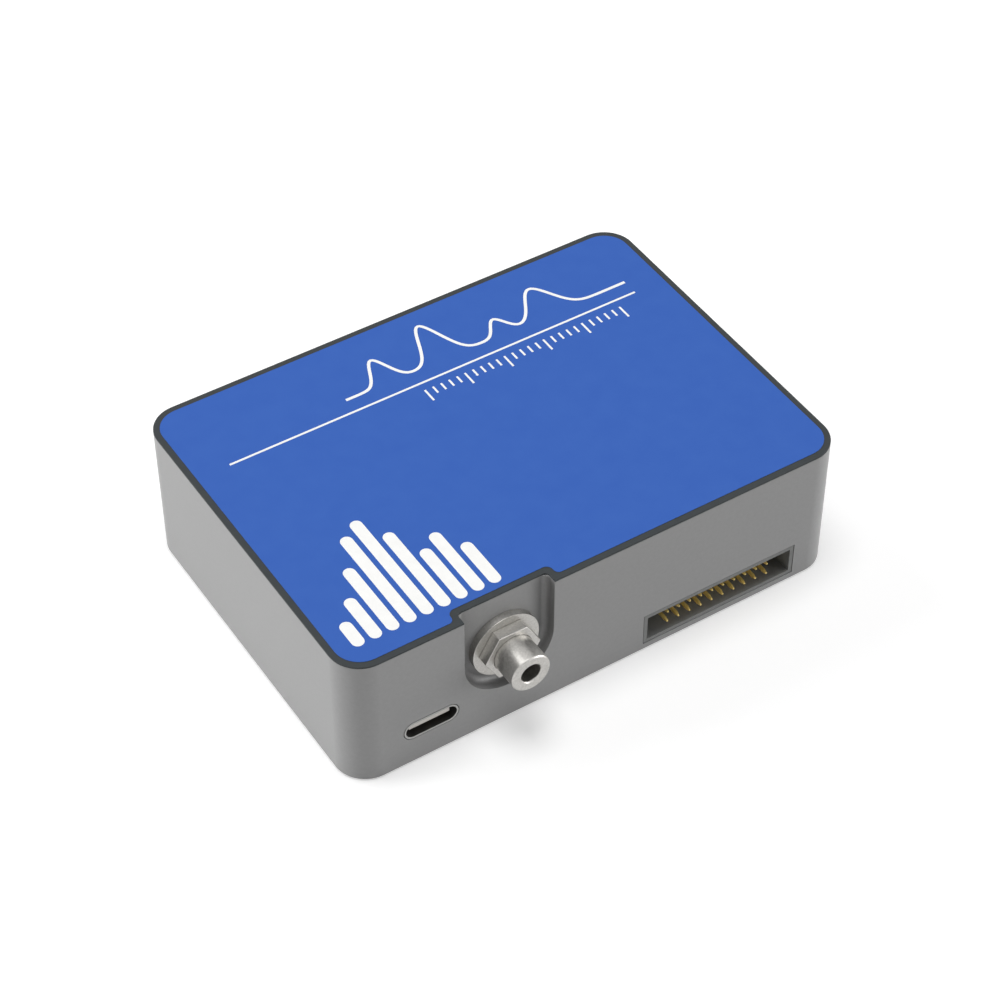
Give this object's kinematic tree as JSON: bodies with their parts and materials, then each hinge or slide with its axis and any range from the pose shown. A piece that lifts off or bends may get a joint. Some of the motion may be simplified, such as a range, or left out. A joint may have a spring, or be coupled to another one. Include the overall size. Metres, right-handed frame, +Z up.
{
  "type": "fibre-optic spectrometer",
  "caption": "Palm-sized grey metal box that splits light from an optical fibre into a spectrum, with a fibre socket, a data port and a pin header.",
  "frame": {"origin": "centre of the flat underside of the box", "axes": "+X along the long side, -Y towards the face with the fibre socket and the ports, +Z up"},
  "size_m": [0.084, 0.0656, 0.024],
  "materials": {
    "grey_anodised": "bead-blasted, grey anodised",
    "cover_metal": "plain milled",
    "screw_steel": "plain steel",
    "dark_overlay": "fine matt film",
    "blue_overlay": "printed film, blue with white marks",
    "nickel": "satin nickel, fine bead blast",
    "black_metal": "black anodised",
    "slit_foil": "blackened foil",
    "coated_glass": "first-surface metal coating",
    "clear_glass": "clear",
    "dark_filter": "dark long-pass glass",
    "ceramic": "fired ceramic",
    "silicon": "polished die",
    "circuit_board": "green solder mask",
    "chip_epoxy": "moulded epoxy",
    "capacitor_ceramic": "fired ceramic",
    "connector_plastic": "moulded, dark grey",
    "black_plastic": "moulded, black",
    "gold_plate": "gold plate",
    "port_steel": "drawn stainless sleeve"
  },
  "bodies": {
    "root": {"housing": "grey_anodised", "cover_plate": "cover_metal", "cover_screws": "screw_steel", "faceplate": "dark_overlay", "label_panel": "blue_overlay", "fibre_connector_body": "nickel", "connector_washer": "nickel", "connector_nut": "nickel", "slit_disc": "slit_foil", "main_board": "circuit_board", "board_screws": "screw_steel", "header_shroud": "connector_plastic", "header_pins": "gold_plate", "usb_shell": "port_steel", "usb_tongue": "black_plastic", "usb_contacts": "gold_plate", "microcontroller": "chip_epoxy", "converter_chip": "chip_epoxy", "memory_chip": "chip_epoxy", "voltage_regulator": "chip_epoxy", "crystal_can": "port_steel", "capacitors": "capacitor_ceramic", "board_socket": "black_plastic", "optical_bench": "black_metal", "bench_screws": "screw_steel", "mount_screws": "screw_steel", "light_baffle": "black_metal", "beam_trap": "black_metal", "detector_package": "ceramic", "detector_window": "clear_glass", "detector_chip": "silicon", "order_sorting_filter": "dark_filter", "detector_pins": "gold_plate", "detector_board": "circuit_board", "detector_bracket": "black_metal", "bracket_screw": "screw_steel", "collimating_mirror": "coated_glass", "collimating_mirror_mount": "black_metal", "collimating_mirror_clip": "port_steel", "diffraction_grating": "coated_glass", "grating_mount": "black_metal", "grating_clip": "port_steel", "focusing_mirror": "coated_glass", "focusing_mirror_mount": "black_metal", "focusing_mirror_clip": "port_steel"}
  },
  "joints": []
}
